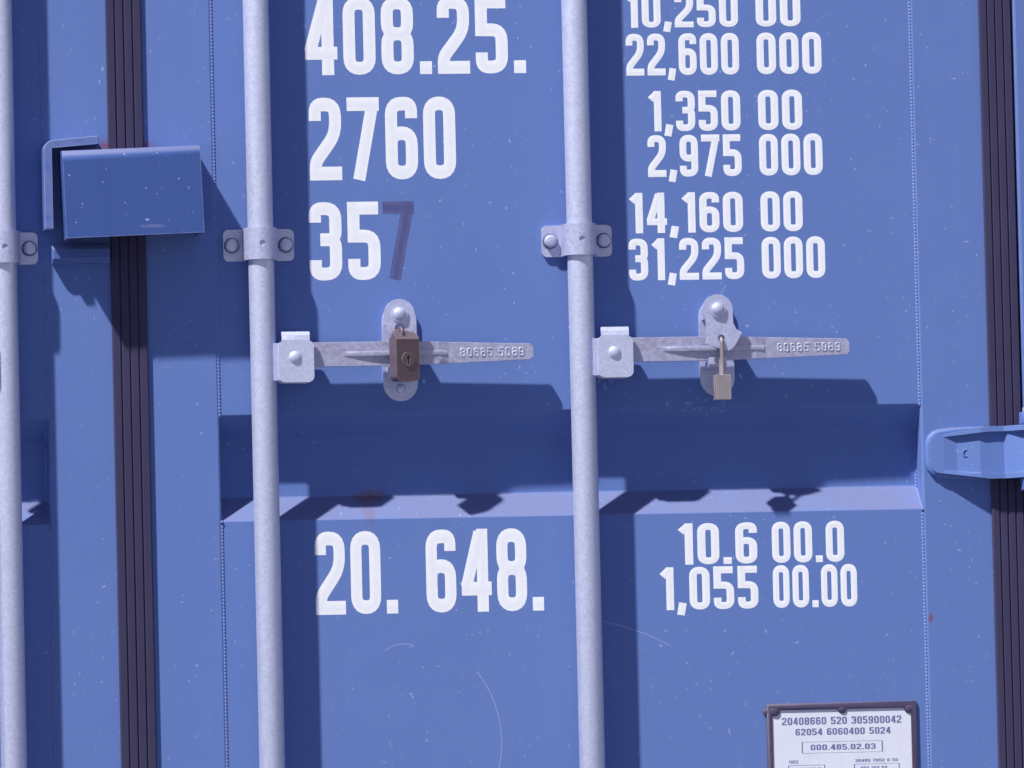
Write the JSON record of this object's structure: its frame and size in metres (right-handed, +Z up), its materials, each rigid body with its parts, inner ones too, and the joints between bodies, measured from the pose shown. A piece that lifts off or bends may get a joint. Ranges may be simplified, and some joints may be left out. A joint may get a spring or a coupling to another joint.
{
  "type": "shipping container door end",
  "caption": "Rear door end of a steel freight container: end frame with corner castings, two leaves, locking bars with cams, handles, catches and padlocks.",
  "frame": {"origin": "on the flat back face of the door sill, at mid-width and half the sill's height", "axes": "+X to the right for someone who faces the doors from outside, +Y in through the doorway, +Z up"},
  "size_m": [2.438, 0.215, 2.591],
  "materials": {
    "frame_paint": "semi-matt blue paint over steel",
    "casting_paint": "cast steel under worn blue paint",
    "door_paint": "semi-matt blue paint, faded and scratched",
    "lock_paint": "darker blue paint with worn edges",
    "galvanised": "dull galvanised steel",
    "rubber": "matt, dusty",
    "white_plate": "white coated plate",
    "dark_bronze": "dark weathered bronze",
    "dull_brass": "dull brass"
  },
  "bodies": {
    "end_frame": {"left_corner_post": "frame_paint", "right_corner_post": "frame_paint", "door_header": "frame_paint", "door_sill": "frame_paint", "top_left_casting": "casting_paint", "top_right_casting": "casting_paint", "bottom_left_casting": "casting_paint", "bottom_right_casting": "casting_paint", "left_hinge_lugs": "frame_paint", "right_hinge_lugs": "frame_paint", "left_hinge_pins": "galvanised", "right_hinge_pins": "galvanised", "header_cam_keepers": "galvanised", "sill_cam_keepers": "galvanised"},
    "left_door": {"left_door_stiles": "door_paint", "left_door_rails": "door_paint", "left_door_sheet": "door_paint", "left_door_seal": "rubber", "left_hinge_blades": "door_paint", "left_bar_brackets": "galvanised", "left_handle_catches": "galvanised", "left_lock_shroud": "lock_paint"},
    "left_outer_bar": {"left_outer_bar": "galvanised", "left_outer_cams": "galvanised"},
    "left_outer_handle": {"left_outer_handle": "galvanised"},
    "left_outer_flap": {"left_outer_flap": "galvanised"},
    "left_inner_bar": {"left_inner_bar": "galvanised", "left_inner_cams": "galvanised"},
    "left_inner_handle": {"left_inner_handle": "galvanised"},
    "left_inner_flap": {"left_inner_flap": "galvanised"},
    "right_door": {"right_door_stiles": "door_paint", "right_door_rails": "door_paint", "right_door_sheet": "door_paint", "right_door_seal": "rubber", "right_hinge_blades": "door_paint", "right_bar_brackets": "galvanised", "right_handle_catches": "galvanised", "right_lock_hood": "lock_paint", "data_plate": "white_plate"},
    "right_outer_bar": {"right_outer_bar": "galvanised", "right_outer_cams": "galvanised"},
    "right_outer_handle": {"right_outer_handle": "galvanised"},
    "right_outer_flap": {"right_outer_flap": "galvanised", "small_padlock": "dull_brass"},
    "right_inner_bar": {"right_inner_bar": "galvanised", "right_inner_cams": "galvanised"},
    "right_inner_handle": {"right_inner_handle": "galvanised"},
    "right_inner_flap": {"right_inner_flap": "galvanised", "large_padlock": "dark_bronze"}
  },
  "joints": [
    {"name": "left_door_swing", "type": "hinge", "parent": "end_frame", "child": "left_door", "pos_m": [-1.201, -0.176, 1.2165], "axis": [0, 0, -1], "range_deg": [0, 270]},
    {"name": "left_outer_bar_turn", "type": "hinge", "parent": "left_door", "child": "left_outer_bar", "pos_m": [-0.596, -0.156, 1.2165], "axis": [0, 0, 1], "range_deg": [0, 100]},
    {"name": "left_outer_handle_lift", "type": "hinge", "parent": "left_outer_bar", "child": "left_outer_handle", "pos_m": [-0.636, -0.1585, 0.9795], "axis": [0, 1, 0], "range_deg": [0, 8]},
    {"name": "left_outer_flap_swing", "type": "hinge", "parent": "left_door", "child": "left_outer_flap", "pos_m": [-0.775, -0.1788, 1.034], "axis": [0, 1, 0], "range_deg": [0, 100]},
    {"name": "left_inner_bar_turn", "type": "hinge", "parent": "left_door", "child": "left_inner_bar", "pos_m": [-0.17, -0.156, 1.2165], "axis": [0, 0, 1], "range_deg": [0, 100]},
    {"name": "left_inner_handle_lift", "type": "hinge", "parent": "left_inner_bar", "child": "left_inner_handle", "pos_m": [-0.21, -0.1585, 0.9795], "axis": [0, 1, 0], "range_deg": [0, 8]},
    {"name": "left_inner_flap_swing", "type": "hinge", "parent": "left_door", "child": "left_inner_flap", "pos_m": [-0.349, -0.1788, 1.034], "axis": [0, 1, 0], "range_deg": [0, 100]},
    {"name": "right_door_swing", "type": "hinge", "parent": "end_frame", "child": "right_door", "pos_m": [1.201, -0.176, 1.2165], "axis": [0, 0, 1], "range_deg": [0, 270]},
    {"name": "right_outer_bar_turn", "type": "hinge", "parent": "right_door", "child": "right_outer_bar", "pos_m": [0.596, -0.156, 1.2165], "axis": [0, 0, -1], "range_deg": [0, 100]},
    {"name": "right_outer_handle_lift", "type": "hinge", "parent": "right_outer_bar", "child": "right_outer_handle", "pos_m": [0.636, -0.1585, 0.9795], "axis": [0, -1, 0], "range_deg": [0, 8]},
    {"name": "right_outer_flap_swing", "type": "hinge", "parent": "right_door", "child": "right_outer_flap", "pos_m": [0.775, -0.1788, 1.034], "axis": [0, -1, 0], "range_deg": [0, 100]},
    {"name": "right_inner_bar_turn", "type": "hinge", "parent": "right_door", "child": "right_inner_bar", "pos_m": [0.17, -0.156, 1.2165], "axis": [0, 0, -1], "range_deg": [0, 100]},
    {"name": "right_inner_handle_lift", "type": "hinge", "parent": "right_inner_bar", "child": "right_inner_handle", "pos_m": [0.21, -0.1585, 0.9795], "axis": [0, -1, 0], "range_deg": [0, 8]},
    {"name": "right_inner_flap_swing", "type": "hinge", "parent": "right_door", "child": "right_inner_flap", "pos_m": [0.349, -0.1788, 1.034], "axis": [0, -1, 0], "range_deg": [0, 100]}
  ]
}
